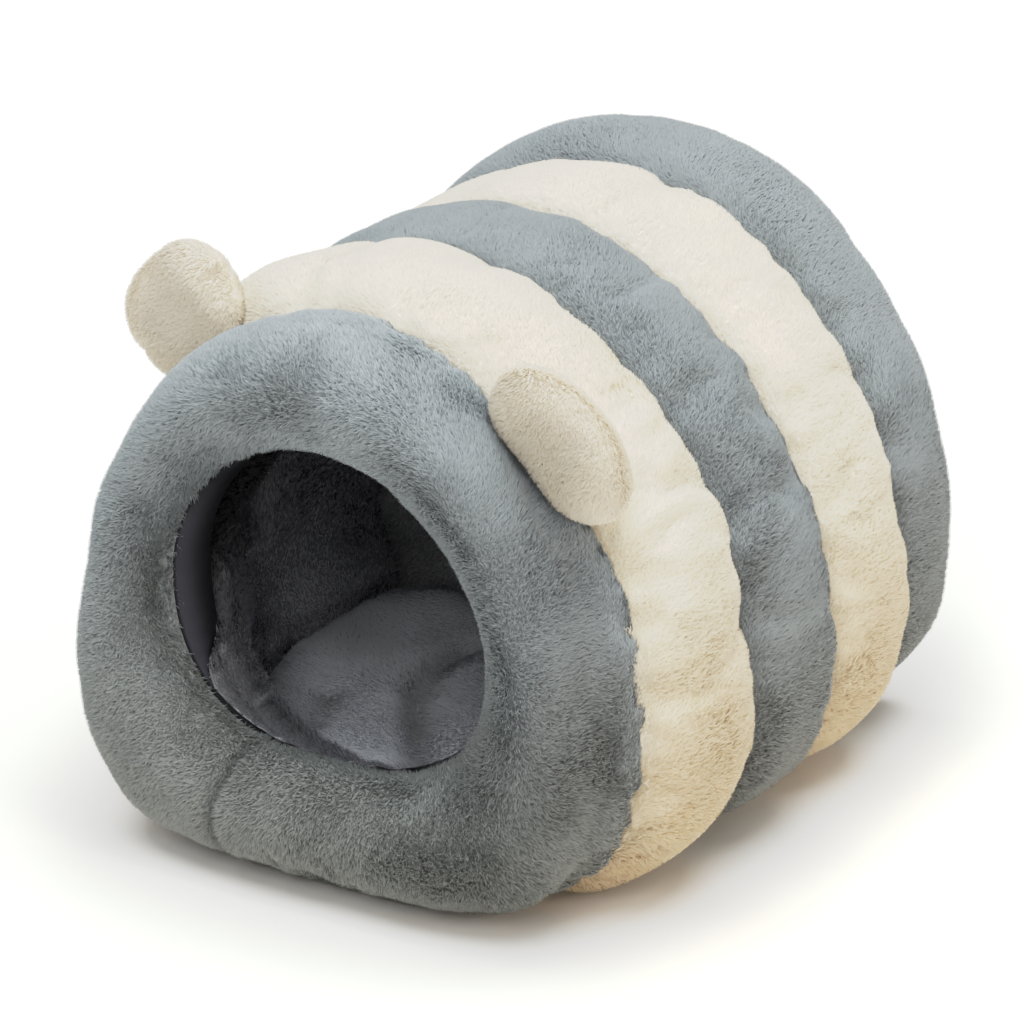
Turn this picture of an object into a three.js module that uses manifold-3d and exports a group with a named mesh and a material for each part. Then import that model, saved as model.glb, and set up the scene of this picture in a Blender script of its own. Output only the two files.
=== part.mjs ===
// Plush pet cave bed: five stuffed rings round a cave, a padded back, two ears and a loose floor pad.
// Millimetres, +Z up. The mouth faces -Y, and +X is on the right of someone who looks in.
// An outline runs round the bed from angle 0 at its right side, over the top, to the left and under.
import * as THREE from 'three';
import { ParametricGeometry } from 'three/addons/geometries/ParametricGeometry.js';
import { mergeVertices } from 'three/addons/utils/BufferGeometryUtils.js';
import Module from 'manifold-3d';

const wasm = await Module();
wasm.setup();

// Clearance between pieces that touch, and behind a skin that lies on a curved wall
const GAP = 0.3;
const SKIN_GAP = 0.8;

// The rings from front to back, at the tips of their pile. front and rear are the places of their
// seams along Y, widest is the height of the widest line as a share of the ring's height, sag is how
// far it would sink below the floor, and the powers are those of the superellipse above and below.
const RINGS = [
  { name: 'front_ring', cloth: 'grey', front: -214, rear: -153, halfWidth: 160, height: 327,
    widest: 0.328, sag: 6, upperPower: 2, lowerPower: 2.45, shift: 0, phase: 0.4 },
  { name: 'cream_ring_1', cloth: 'cream', front: -153, rear: -51.5, halfWidth: 197, height: 348,
    widest: 0.317, sag: 8, upperPower: 1.9, lowerPower: 2.5, shift: 2, phase: 1.9 },
  { name: 'grey_ring_2', cloth: 'grey', front: -51.5, rear: 40.5, halfWidth: 205, height: 345,
    widest: 0.317, sag: 8, upperPower: 1.94, lowerPower: 2.5, shift: -1.9, phase: 3.1 },
  { name: 'cream_ring_3', cloth: 'cream', front: 40.5, rear: 139, halfWidth: 209, height: 346,
    widest: 0.317, sag: 8, upperPower: 1.94, lowerPower: 2.5, shift: -3, phase: 4.6 },
  { name: 'rear_ring', cloth: 'grey', front: 139, rear: 222, halfWidth: 202.5, height: 362,
    widest: 0.317, sag: 8, upperPower: 2, lowerPower: 2.55, shift: -4.2, phase: 5.7 },
];
// The bottoms of the seams between them, in the same terms
const SEAMS = [
  { halfWidth: 173, height: 329, widest: 0.328, sag: -3, upperPower: 1.96, lowerPower: 2.4, shift: 3.5,
    phase: 0.4 },
  { halfWidth: 194, height: 337, widest: 0.317, sag: -4, upperPower: 1.94, lowerPower: 2.5, shift: -1.2,
    phase: 2.5 },
  { halfWidth: 199, height: 335, widest: 0.317, sag: -4, upperPower: 1.94, lowerPower: 2.5, shift: -2.4,
    phase: 3.8 },
  { halfWidth: 198, height: 342, widest: 0.317, sag: -4, upperPower: 1.94, lowerPower: 2.5, shift: -3.6,
    phase: 5.2 },
];
const FLOOR_SOFTNESS = 7.8;
const FLOOR_PRESS = 3;
const PUFF_POWER = 2.6;
const SEAM_WANDER = 1.5;
const LUMP = 0.007;

// Round lips of the end rings: the powers of their profile, and how far the rear lip's crest lies
// in front of its rear end
const MOUTH_LIP = { outerPower: 1.9, innerPower: 1.75, sweep: 1.6 };
const REAR_LIP = { depth: 50, power: 2.4 };

// The mouth, and the smooth facing behind its lip, which reaches past the first seam. Its far end is
// wider by flare, and lower at the bottom by drop.
const MOUTH = { halfWidth: 105.5, halfHeight: 91, height: 165, upperPower: 1.89, lowerPower: 2.4 };
const FACING = { front: -174, rear: -141, thickness: 2, inset: 1.5, flare: 2.5, drop: 25 };

// The cave inside the lining, and how much narrower it is behind the mouth at places along Y
const CAVE = { halfWidth: 158, top: 296, widest: 115, floor: 18, bottom: 6, upperPower: 2, lowerPower: 3.2,
  rear: 196 };
const CAVE_BENDS = [
  { y: -128, narrowing: 40 },
  { y: -92, narrowing: 22 },
  { y: -51.5, narrowing: 8 },
  { y: -5, narrowing: 0 },
];
const LINING_THICKNESS = 3;
const WALL_LUMP = 0.008;
// A soft roll along the foot of the left wall, at an angle on the outline
const WALL_ROLL = { angle: 3.45, spread: 0.13, size: 7 };

// The padded back: the rims of its faces, how far these bulge, and how far the rear one turns in
const BACK = { front: 108, frontCrown: 24, rear: 196, rearCrown: 26 };

// The loose floor pad
const PAD = { front: -122, rear: 97, height: 68, slope: 9, clearance: 3, planPower: 8, edgePower: 3.4,
  sidePower: 4.4, sink: 12, foldDepth: 5 };

// The ears, sewn into the first seam. place and pointing are the angles of their foot and their tip,
// seat is the distance of their foot from the ring's middle, and lean tips them to the rear.
const EARS = [
  { name: 'left_ear', place: 117, pointing: 131, seat: 193, lean: 14, width: 96, reach: 73, thickness: 34,
    foldSide: -1 },
  { name: 'right_ear', place: 51, pointing: 51, seat: 178, lean: -14, width: 97, reach: 73, thickness: 36,
    foldSide: 1 },
];
const EAR_CENTRE_HEIGHT = 110;
const EAR_DENT = 5;
const EAR_GAP = 1.1;

// Facets round the outline and along the profiles
const AROUND = 54;
const OUTER_STEPS = 8;
const LIP_STEPS = 12;

const CLOTHS = {
  grey: { color: 0x8f9599, roughness: 0.95 },
  cream: { color: 0xdcd3c0, roughness: 0.95 },
  wall: { color: 0x6b6e72, roughness: 0.95 },
  facing: { color: 0x55535c, roughness: 0.8 },
};

const materials = Object.fromEntries(Object.entries(CLOTHS).map(([cloth, looks]) => [
  cloth, new THREE.MeshStandardMaterial({ name: cloth, metalness: 0, ...looks }),
]));

const power = (value, exponent) => Math.sign(value) * Math.abs(value) ** exponent;
const mix = (a, b, share) => a + (b - a) * share;
const mixPoints = (a, b, share) => a.map((value, axis) => mix(value, b[axis], share));
const bump = (distance, spread) => Math.exp(-((distance / spread) ** 2));

// Offsets from the widest line of a shape that is rounder above it than below
function superellipse(angle, halfWidth, rise, fall, upperPower, lowerPower) {
  const above = Math.sin(angle) >= 0;
  const exponent = 2 / (above ? upperPower : lowerPower);
  return [halfWidth * power(Math.cos(angle), exponent), (above ? rise : fall) * power(Math.sin(angle), exponent)];
}

// Slow, uneven swelling of the stuffing round an outline
const stuffing = (angle, phase) =>
  0.5 * Math.sin(3 * angle + phase) + 0.3 * Math.sin(5 * angle - 2 * phase) + 0.2 * Math.sin(8 * angle + 3 * phase);

// A stuffed ring that weighs on the floor: its underside turns flat softly
const settle = (height) => FLOOR_SOFTNESS * Math.log1p(Math.exp(height / FLOOR_SOFTNESS)) - FLOOR_PRESS;
const onFloor = (height) => Math.max(0, height);

// The outline of a ring where it is fullest, or of a seam
function outline(row, angle, swell) {
  const widest = row.widest * row.height;
  const lump = 1 + LUMP * stuffing(angle, row.phase);
  const [x, z] = superellipse(angle, row.halfWidth + swell, row.height - widest + swell, widest + row.sag + swell,
    row.upperPower, row.lowerPower);
  return [row.shift + x * lump, settle(widest + z * lump)];
}
// How far a seam strays along Y, least under the bed
const seamWander = (seam, angle) => SEAM_WANDER * Math.sin(2 * angle + 2.3 * seam) * (1 + Math.sin(angle)) / 2;

function mouthLine(angle, outward) {
  const [x, z] = superellipse(angle, MOUTH.halfWidth + outward, MOUTH.halfHeight + outward,
    MOUTH.halfHeight + outward, MOUTH.upperPower, MOUTH.lowerPower);
  return [x, MOUTH.height + z];
}

// The facing's surface at a share of its depth
function facingLine(angle, share, outward) {
  const [x, z] = mouthLine(angle, FACING.inset + FACING.flare * share + outward);
  return [x, z - FACING.drop * share * Math.max(0, -Math.sin(angle))];
}
const facingShare = (y) => (y - FACING.front) / (FACING.rear - FACING.front);

// How much narrower the cave is at a place along Y
function narrowing(y) {
  const next = CAVE_BENDS.findIndex((bend) => bend.y >= y);
  if (next < 0) return 0;
  if (next === 0) return CAVE_BENDS[0].narrowing;
  const [before, after] = [CAVE_BENDS[next - 1], CAVE_BENDS[next]];
  return mix(before.narrowing, after.narrowing, (y - before.y) / (after.y - before.y));
}
const wallRoll = (angle) => WALL_ROLL.size * bump(angle - WALL_ROLL.angle, WALL_ROLL.spread);

// The cave's wall, with the roll along its left foot
function caveLine(angle, outward, y = 0) {
  const roll = wallRoll(angle);
  const lump = 1 + WALL_LUMP * stuffing(angle, 1) * Math.max(0, Math.sin(angle) + 0.2);
  const wall = outward - narrowing(y);
  const [x, z] = superellipse(angle, CAVE.halfWidth + wall - roll, CAVE.top - CAVE.widest + wall,
    CAVE.widest - CAVE.bottom + outward - roll, CAVE.upperPower, CAVE.lowerPower);
  return [x * lump, Math.max(CAVE.floor - outward, CAVE.widest + z * lump)];
}

// Half the cave's clear width on one side (-1 left, 1 right), at a height below its widest line
function caveHalfWidth(side, height, y) {
  const fall = Math.max(0, (CAVE.widest - height) / (CAVE.widest - CAVE.bottom));
  const angle = Math.PI + Math.asin(fall ** (CAVE.lowerPower / 2));
  const halfWidth = CAVE.halfWidth - narrowing(y) - (side < 0 ? 1.5 * wallRoll(angle) : 0);
  return halfWidth * (1 - fall ** CAVE.lowerPower) ** (1 / CAVE.lowerPower);
}

// Each section gives the points [x, y, z] of a piece's closed profile at an angle. It runs forwards
// along the outside of the bed and back along the inside.

// The puffed outside of a ring between its seams, from share -1 at the front one to 1 at the rear one
function puffedPoint(index, angle, share, swell, frontLine, rearLine, front, rear) {
  const along = (share + 1) / 2;
  const fullness = 1 - Math.abs(share) ** PUFF_POWER;
  const foot = mixPoints(frontLine, rearLine, along);
  const [x, z] = mixPoints(foot, outline(RINGS[index], angle, swell), fullness);
  return [x, mix(front, rear, along), onFloor(z)];
}

function middleRingSection(index, angle, swell) {
  const ring = RINGS[index];
  const frontLine = outline(SEAMS[index - 1], angle, swell);
  const rearLine = outline(SEAMS[index], angle, swell);
  const front = ring.front + GAP / 2 + seamWander(index, angle);
  const rear = ring.rear - GAP / 2 + seamWander(index + 1, angle);
  const points = [];
  for (let step = 0; step <= OUTER_STEPS; step += 1) {
    const share = 1 - (2 * step) / OUTER_STEPS;
    points.push(puffedPoint(index, angle, share, swell, frontLine, rearLine, front, rear));
  }
  const wall = (y, place = y) => {
    const [x, z] = caveLine(angle, LINING_THICKNESS + SKIN_GAP, place);
    points.push([x, y, z]);
  };
  if (index === 1) {
    const behindFacing = FACING.thickness + SKIN_GAP;
    const [nearX, nearZ] = facingLine(angle, facingShare(ring.front + GAP / 2), behindFacing);
    const [farX, farZ] = facingLine(angle, 1, behindFacing);
    points.push([nearX, ring.front + GAP / 2, nearZ], [farX, FACING.rear, farZ]);
    wall(CAVE_BENDS[0].y - 2 * SKIN_GAP, CAVE_BENDS[0].y);
    wall(CAVE_BENDS[1].y);
  } else {
    wall(ring.front + GAP / 2, ring.front);
    if (index === 2) wall(CAVE_BENDS[3].y);
  }
  wall(ring.rear - GAP / 2, ring.rear);
  return points;
}

// The front ring runs from its seam over its crest and its nose into the mouth, and back behind the facing
function frontRingSection(angle, swell) {
  const ring = RINGS[0];
  const outer = outline(ring, angle, swell);
  const inner = mouthLine(angle, 0);
  const seam = outline(SEAMS[0], angle, swell);
  const middle = (ring.front + ring.rear) / 2;
  const half = (ring.rear - ring.front) / 2;
  const points = [];
  for (let step = 0; step <= LIP_STEPS; step += 1) {
    const turn = Math.PI * (0.5 - (MOUTH_LIP.sweep * step) / LIP_STEPS);
    const reach = power(Math.sin(turn), 2 / MOUTH_LIP.outerPower);
    let place;
    if (turn > 0) {
      place = mixPoints(outer, seam, reach ** PUFF_POWER);
    } else {
      const side = Math.cos(turn) > 0 ? MOUTH_LIP.outerPower : MOUTH_LIP.innerPower;
      place = mixPoints(inner, outer, 0.5 + 0.5 * power(Math.cos(turn), 2 / side));
    }
    const y = step === 0 ? ring.rear + seamWander(1, angle) - GAP / 2 + swell : middle + half * reach;
    points.push([place[0], y, onFloor(place[1])]);
  }
  const behindFacing = FACING.thickness + SKIN_GAP;
  const [nearX, nearZ] = facingLine(angle, 0, behindFacing);
  const [farX, farZ] = facingLine(angle, facingShare(ring.rear - GAP / 2), behindFacing);
  points.push([nearX, FACING.front - SKIN_GAP / 2, nearZ], [farX, ring.rear - GAP / 2, farZ]);
  return points;
}

// The rear ring runs from the wall round the padded back over its round lip and its crest to its seam
function rearRingSection(angle, swell) {
  const index = RINGS.length - 1;
  const ring = RINGS[index];
  const outer = outline(ring, angle, swell);
  const inner = caveLine(angle, LINING_THICKNESS + SKIN_GAP);
  const seam = outline(SEAMS[index - 1], angle, swell);
  const fullest = ring.rear - REAR_LIP.depth;
  const front = ring.front + GAP / 2 + seamWander(index, angle);
  const points = [[inner[0], ring.front + GAP / 2, inner[1]]];
  const lipSteps = LIP_STEPS - 4;
  for (let step = 0; step < lipSteps; step += 1) {
    const turn = Math.PI * (1 - step / lipSteps);
    const reach = power(Math.sin(turn), 2 / REAR_LIP.power);
    const place = mixPoints(inner, outer, 0.5 + 0.5 * power(Math.cos(turn), 2 / REAR_LIP.power));
    points.push([place[0], fullest + REAR_LIP.depth * reach, onFloor(place[1])]);
  }
  const halfSteps = OUTER_STEPS / 2;
  for (let step = 0; step <= halfSteps; step += 1) {
    points.push(puffedPoint(index, angle, -step / halfSteps, swell, seam, seam, front, 2 * fullest - front));
  }
  return points;
}

function facingSection(angle) {
  const edge = (share, outward, y) => {
    const [x, z] = facingLine(angle, share, outward);
    return [x, y, z];
  };
  return [edge(0, FACING.thickness, FACING.front), edge(0, 0, FACING.front), edge(1, 0, FACING.rear),
    edge(1, FACING.thickness, FACING.rear)];
}

// The lining leaves the facing, flares out behind the mouth and runs to the back
function liningSection(angle) {
  const front = FACING.rear + GAP;
  const [lipX, lipZ] = facingLine(angle, 1, 0);
  const wall = (outward, y, place = y) => {
    const [x, z] = caveLine(angle, outward, place);
    return [x, y, z];
  };
  const [flare, ...bends] = CAVE_BENDS.map((bend) => bend.y);
  return [
    wall(LINING_THICKNESS, CAVE.rear),
    ...bends.map((y) => wall(LINING_THICKNESS, y)).reverse(),
    wall(LINING_THICKNESS, flare),
    [lipX, front, lipZ],
    [lipX, front + LINING_THICKNESS, lipZ],
    wall(0, flare + LINING_THICKNESS, flare),
    ...bends.map((y) => wall(0, y)),
    wall(0, CAVE.rear),
  ];
}

// A closed loop of sections all the way round the bed
function hoop(section) {
  const count = section(0).length;
  const surface = (u, v, target) => {
    const points = section(2 * Math.PI * (Math.round(u * AROUND) % AROUND) / AROUND);
    target.set(...points[Math.round(v * count) % count]);
  };
  return new ParametricGeometry(surface, AROUND, count);
}

function ringGeometry(index, swell = 0) {
  if (index === 0) return hoop((angle) => frontRingSection(angle, swell));
  if (index === RINGS.length - 1) return hoop((angle) => rearRingSection(angle, swell));
  return hoop((angle) => middleRingSection(index, angle, swell));
}

// A ball whose points are moved: place gets the point's height along the ball's Y axis, its distance
// from that axis, and the cosine and sine of its bearing round it
function shapedBall(bearings, rows, place) {
  const geometry = new THREE.SphereGeometry(1, bearings, rows);
  const positions = geometry.attributes.position;
  for (let index = 0; index < positions.count; index += 1) {
    const [x, y, z] = [positions.getX(index), positions.getY(index), positions.getZ(index)];
    const radius = Math.hypot(x, z);
    const bearing = radius > 1e-6 ? [x / radius, z / radius] : [0, 0];
    positions.setXYZ(index, ...place(y, radius, ...bearing));
  }
  return geometry;
}

function backPanelGeometry() {
  return shapedBall(AROUND, 13, (height, radius, cosine, sine) => {
    const angle = Math.atan2(sine, cosine);
    const [rimX, rimZ] = caveLine(angle < 0 ? angle + 2 * Math.PI : angle, -SKIN_GAP);
    const turn = Math.atan2(radius, -height) / Math.PI;
    const spread = Math.min(1, 2.4 * Math.min(turn, 1 - turn));
    const middle = (CAVE.top + CAVE.floor) / 2;
    const front = BACK.front - BACK.frontCrown * (1 - spread ** 2);
    const rear = BACK.rear + BACK.rearCrown * (1 - spread ** 5);
    return [rimX * spread, turn < 0.5 ? front : rear, mix(middle, rimZ, spread)];
  });
}

// The floor pad: flat below, drawn in at its edges, hollowed and folded where an animal lies
function cushionGeometry() {
  const bottom = CAVE.floor + SKIN_GAP;
  const middle = (PAD.front + PAD.rear) / 2;
  const halfLength = (PAD.rear - PAD.front) / 2;
  return shapedBall(32, 14, (height, radius, cosine, sine) => {
    const y = middle + halfLength * power(height, 2 / PAD.planPower);
    const width = radius ** (2 / PAD.planPower);
    const fullness = radius ** (2 / PAD.edgePower);
    const across = power(cosine, 2 / PAD.sidePower) * width;
    const lift = power(sine, 2 / PAD.sidePower) * fullness;
    const hollow = PAD.sink * (1 - across ** 2) * fullness;
    const foldLine = 0.12 - 0.3 * ((y - middle) / halfLength);
    const folds = PAD.foldDepth * (bump(across - foldLine, 0.12) + 0.7 * bump(across + 0.72, 0.1)) * fullness;
    const edge = PAD.height + PAD.slope * ((y - middle) / halfLength - 1) / 2;
    const top = edge - hollow - folds;
    const seam = mix(bottom, edge, 0.55);
    const z = lift > 0 ? mix(seam, top, lift) : Math.max(bottom, seam + (seam - bottom) * 1.25 * lift);
    return [across * (caveHalfWidth(across, z, y) - PAD.clearance), y, z];
  });
}

// Solids for cutting
function toSolid(geometry) {
  const plain = geometry.clone();
  plain.deleteAttribute('normal');
  plain.deleteAttribute('uv');
  const merged = mergeVertices(plain, 1e-4);
  const mesh = new wasm.Mesh({
    numProp: 3,
    vertProperties: new Float32Array(merged.attributes.position.array),
    triVerts: new Uint32Array(merged.index.array),
  });
  return new wasm.Manifold(mesh);
}

function toGeometry(solid) {
  const mesh = solid.getMesh();
  const geometry = new THREE.BufferGeometry();
  geometry.setAttribute('position', new THREE.BufferAttribute(mesh.vertProperties, 3));
  geometry.setIndex(new THREE.BufferAttribute(mesh.triVerts, 1));
  return geometry;
}

// An ear stands in the first seam, with its foot cut to the two rings that hold it
function earGeometry(ear) {
  const place = THREE.MathUtils.degToRad(ear.place);
  const angle = THREE.MathUtils.degToRad(ear.pointing);
  const lean = THREE.MathUtils.degToRad(ear.lean);
  const back = new THREE.Vector3(0, 1, 0);
  const outward = new THREE.Vector3(Math.cos(angle), 0, Math.sin(angle));
  const sideways = new THREE.Vector3(Math.sin(angle), 0, -Math.cos(angle));
  const up = outward.clone().multiplyScalar(Math.cos(lean)).addScaledVector(back, Math.sin(lean));
  const facing = back.clone().multiplyScalar(-Math.cos(lean)).addScaledVector(outward, Math.sin(lean));
  const foot = new THREE.Vector3(ear.seat * Math.cos(place), RINGS[0].rear,
    EAR_CENTRE_HEIGHT + ear.seat * Math.sin(place));
  const shape = shapedBall(22, 14, (height, radius, cosine, sine) => {
    const narrowed = 1 - 0.22 * Math.max(0, -height);
    const across = 0.5 * ear.width * power(cosine, 0.95) * radius ** 0.85 * narrowed;
    const rise = 0.5 * ear.reach * (1 + power(height, 0.92));
    const dent = EAR_DENT * bump(height + 0.15, 0.5) * bump(cosine * radius, 0.55) * radius;
    const fold = 3 * bump(cosine * radius - 0.35 * ear.foldSide + 0.4 * height * ear.foldSide, 0.14);
    const front = sine > 0 ? (dent + fold) * sine : 0;
    const depth = 0.5 * ear.thickness * power(sine, 0.9) * radius ** 0.8 * (1 - 0.2 * Math.max(0, -height)) - front;
    return foot.clone().addScaledVector(sideways, across).addScaledVector(up, rise)
      .addScaledVector(facing, depth).toArray();
  });
  const cut = toSolid(shape).subtract(toSolid(ringGeometry(0, EAR_GAP))).subtract(toSolid(ringGeometry(1, EAR_GAP)));
  const pieces = cut.decompose().sort((one, other) => other.volume() - one.volume());
  return toGeometry(pieces[0]);
}

const bed = new THREE.Group();

function addPiece(name, geometry, cloth) {
  const mesh = new THREE.Mesh(geometry, materials[cloth]);
  mesh.name = name;
  bed.add(mesh);
}

RINGS.forEach((ring, index) => addPiece(ring.name, ringGeometry(index), ring.cloth));
addPiece('back_panel', backPanelGeometry(), 'grey');
addPiece('mouth_facing', hoop(facingSection), 'facing');
addPiece('lining', hoop(liningSection), 'wall');
addPiece('cushion', cushionGeometry(), 'wall');
EARS.forEach((ear) => addPiece(ear.name, earGeometry(ear), 'cream'));

// The origin is on the floor, in the middle of the bed's length and width
const extent = new THREE.Box3().setFromObject(bed);
const middle = extent.getCenter(new THREE.Vector3());
bed.position.set(-middle.x, -middle.y, -extent.min.z);

export default bed;
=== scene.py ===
"""Dresses the plush pet cave bed: stuffed covers with laid pile, soft studio light and the camera."""
import math
from collections import namedtuple

import bmesh
import bpy
import numpy as np
from bpy.props import FloatProperty, FloatVectorProperty, PointerProperty
from mathutils import Matrix, Vector, noise
from mathutils.bvhtree import BVHTree


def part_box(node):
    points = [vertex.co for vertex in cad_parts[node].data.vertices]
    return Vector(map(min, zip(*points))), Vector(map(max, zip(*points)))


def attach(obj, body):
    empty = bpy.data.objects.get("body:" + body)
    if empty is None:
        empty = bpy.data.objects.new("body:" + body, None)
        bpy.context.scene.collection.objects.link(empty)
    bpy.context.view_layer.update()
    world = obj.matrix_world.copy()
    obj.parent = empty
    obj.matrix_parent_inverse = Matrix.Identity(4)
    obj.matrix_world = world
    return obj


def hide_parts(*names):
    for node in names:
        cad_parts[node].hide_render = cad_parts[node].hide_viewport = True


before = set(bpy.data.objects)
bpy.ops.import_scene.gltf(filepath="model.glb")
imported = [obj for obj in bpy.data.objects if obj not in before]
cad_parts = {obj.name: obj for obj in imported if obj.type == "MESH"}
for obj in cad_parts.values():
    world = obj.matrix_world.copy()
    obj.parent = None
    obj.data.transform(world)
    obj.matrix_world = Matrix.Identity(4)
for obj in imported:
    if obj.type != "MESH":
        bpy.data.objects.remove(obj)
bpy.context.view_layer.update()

bl_info = {
    "name": "Plush cave bed",
    "version": (1, 0, 0),
    "blender": (4, 5, 0),
    "location": "3D View > Sidebar > Cave bed",
    "description": "Covers, pile and stage of a stuffed pet cave bed",
    "category": "Object",
}

MM = 0.001

# A piece's pile: how many strands, how long and wide they are, how far their tips stand off the cover,
# which way they lie in radians from the way round the bed, how strongly they swirl, how thick a lock is,
# how far a strand's tone strays from the next, how light the whole pile is, which partly is painted light
# and shade set for each piece, how ruffled it is, and the seed of what is random in it. Sizes in mm.
Pile = namedtuple("Pile", "strands length width height nap swirl lock grain tone ruffle seed")
PILES = {
    "front_ring": Pile(172000, 4.4, 1.15, 3.0, -0.75, 0.9, 3.0, 0.24, 0.92, 0.15, 11),
    "cream_ring_1": Pile(133000, 4.8, 1.35, 2.6, -0.65, 0.6, 3.4, 0.035, 0.98, 0.0, 12),
    "grey_ring_2": Pile(120000, 4.6, 1.3, 2.9, -0.65, 0.6, 3.0, 0.22, 0.83, 0.1, 13),
    "cream_ring_3": Pile(112000, 4.8, 1.4, 2.6, -0.8, 0.5, 3.4, 0.03, 0.98, -0.1, 14),
    "rear_ring": Pile(133000, 5.0, 1.4, 2.7, -0.8, 0.5, 3.2, 0.18, 0.86, 0.0, 15),
    "back_panel": Pile(38000, 5.6, 1.7, 3.2, -0.65, 0.6, 4.0, 0.17, 1.0, 0.0, 16),
    "lining": Pile(84000, 5.6, 1.8, 3.0, -2.2, 0.7, 4.0, 0.12, 1.15, -0.2, 17),
    "cushion": Pile(44000, 4.6, 1.4, 3.0, -2.2, 0.8, 4.0, 0.16, 1.06, 0.0, 18),
    "left_ear": Pile(20000, 3.6, 1.0, 2.4, 0.95, 0.5, 3.2, 0.025, 0.93, -0.2, 19),
    "right_ear": Pile(20000, 3.6, 1.0, 2.4, 1.9, 0.5, 3.2, 0.025, 0.93, -0.2, 20),
}
# How far the light on a ring's pile follows the way out of the bed instead of the cover's own slope, and
# how strongly faint folds cross the ring's right side
ROUNDED = {"grey_ring_2": 0.2, "cream_ring_3": 0.25, "rear_ring": 0.5}
FOLDED = {"cream_ring_1": 1.8, "grey_ring_2": 0.8, "cream_ring_3": 1.0}

# How far a piece's cover swells past its solid, in mm, at angles round the bed in degrees: 0 on the side
# of positive X, 90 at the top
SWELL = {"front_ring": ((-90, 0), (0, 0.5), (90, 0.5), (140, -2.5), (163, -4.5), (185, -3), (210, -1.5)),
         "cream_ring_1": ((-90, 2), (-10, 0.5), (10, 2), (30, 5), (48, 2.5), (62, -1), (98, 0), (112, 4),
                          (122, 2.5), (136, -2), (180, -1)),
         "grey_ring_2": ((0, 1),),
         "cream_ring_3": ((-90, 2), (0, 2.5), (45, 1.5), (65, 1.5), (95, 2), (180, 1)),
         "rear_ring": ((-90, -2), (0, -3.5), (60, -2.5), (90, -1), (180, -1)),
         "back_panel": ((0, -3),)}
# How far the face ring laps over the seam behind it, in mm, at those angles
LAP = ((-90, 8), (-45, 12), (-30, 12), (-12, 10), (0, 11), (8, 14.5), (18, 14.5), (28, 12), (40, 9),
       (60, 4), (90, 2), (200, 2))
# How far the lip of the mouth stands in from the solid's, in mm, at those angles
LIP = ((-90, 5), (-60, 3), (-30, -1), (0, -2.5), (45, -1), (90, -2.5), (150, 0), (200, 1), (240, 4))
# How far an ear's rim is drawn out past its solid's, in mm, at angles round its own middle
EAR_SWELL = {"left_ear": ((-90, 3), (-45, 6), (-20, 6), (0, -2), (22, -9), (48, -12), (75, -8), (105, 0),
                          (135, 4), (180, 3), (205, -1), (228, -4), (250, -1)),
             "right_ear": ((-60, -1), (0, -4), (50, -3), (120, 0), (180, 0), (230, 0))}
# Lines along which a cover is drawn in: which two of x, y and z their points give, the points in mm, how
# wide and how deep the crease is, how dark its painted shade is from 0 to 1, and the range along Y in which
# it lies
Crease = namedtuple("Crease", "axes points width depth dark front rear")
CREASES = {
    # The seam that closes the face ring, and a tuck above the mouth
    "front_ring": [
        Crease((0, 2), ((-42, 82), (-47, 70), (-52, 48), (-54, 8)), 4, 4.2, 1.0, -230, -188),
        Crease((0, 2), ((12, 314), (15.5, 296), (16, 276)), 8, 2.6, 0.2, -230, -195)],
    # The fold that crosses the pad, and a shorter one near its front
    "cushion": [
        Crease((0, 1), ((12, -130), (8, -100), (-36, -30), (-47, 11), (-46, 40)), 9, 9, 0.6, -140, 100),
        Crease((0, 1), ((-70, -130), (-66, -100), (-80, -60)), 10, 5, 0.4, -140, 100)],
    # The fold of the wall above the pad's left edge
    "lining": [
        Crease((1, 2), ((-120, 92), (-86, 84), (-56, 78), (0, 62), (60, 60)), 6, 6, 0.5, -150, 90)],
}

# The height of the line round which the rings are wound, and how far their middles are from it
AXIS_HEIGHT = 130 * MM
RING_RADIUS = 160 * MM
# Behind the first of these places along Y the mouth's lip is hidden by the facing, and behind the second
# the ring has no lip
LIP_END = -181 * MM
LIP_REAR = -160 * MM
# The facing's two edges along Y, and the heights between which painted shade darkens it
FACING_FRONT, FACING_REAR = -178.4 * MM, -145.4 * MM
FACING_SHADE = (190 * MM, 220 * MM)
# How far the wall's folds stand in, and its bulge low on the left, at what angle round the mouth that is
# and how wide, in degrees
WALL_FOLD = 7 * MM
BULGE_HEIGHT, BULGE_ANGLE, BULGE_WIDTH = 15 * MM, -155, 26
# How far the wall laps forward over the facing low in the mouth, and how far inside the facing it stays
WALL_LAP = 34 * MM
WALL_CLEARANCE = 3.5 * MM
# Behind this place along Y the wall is hidden by the back of the cave
WALL_END = 105 * MM
# The pad's far left corner along X and Y, how far it stands up against the wall, and how wide that is
PAD_CORNER = (-88 * MM, 78 * MM)
CORNER_RISE, CORNER_WIDTH = 9 * MM, 26 * MM
# Up to this height painted warm shade makes the pile yellower and darker towards the floor
FLOOR_SHADE_HEIGHT = 190 * MM
# The middle of the mouth along X and Z
MOUTH = (4 * MM, 150 * MM)


def linear(code):
    """A colour's linear values from its sRGB hex code."""
    parts = [int(code[at:at + 2], 16) / 255 for at in (1, 3, 5)]
    return tuple(part / 12.92 if part <= 0.04045 else ((part + 0.055) / 1.055) ** 2.4 for part in parts)


def soft_step(low, high, value):
    """0 up to low, 1 from high on, and smooth between them."""
    share = np.clip((value - low) / (high - low), 0, 1)
    return share * share * (3 - 2 * share)


def bell(value, width):
    """1 where a value is 0, falling to almost 0 at twice that width."""
    return np.exp(-(value / width) ** 2)


def by_angle(table, angle):
    """The sizes that a table gives in mm, at each angle."""
    return np.interp(angle, *zip(*table), period=360) * MM


def read(items, name, width=3):
    """The numbers that each item of a mesh holds, one row an item."""
    found = np.empty(len(items) * width, np.float32)
    items.foreach_get(name, found)
    return found.reshape(-1, width).astype(float)


def write(items, name, values):
    items.foreach_set(name, np.ascontiguousarray(values, np.float32).ravel())


# Materials


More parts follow.
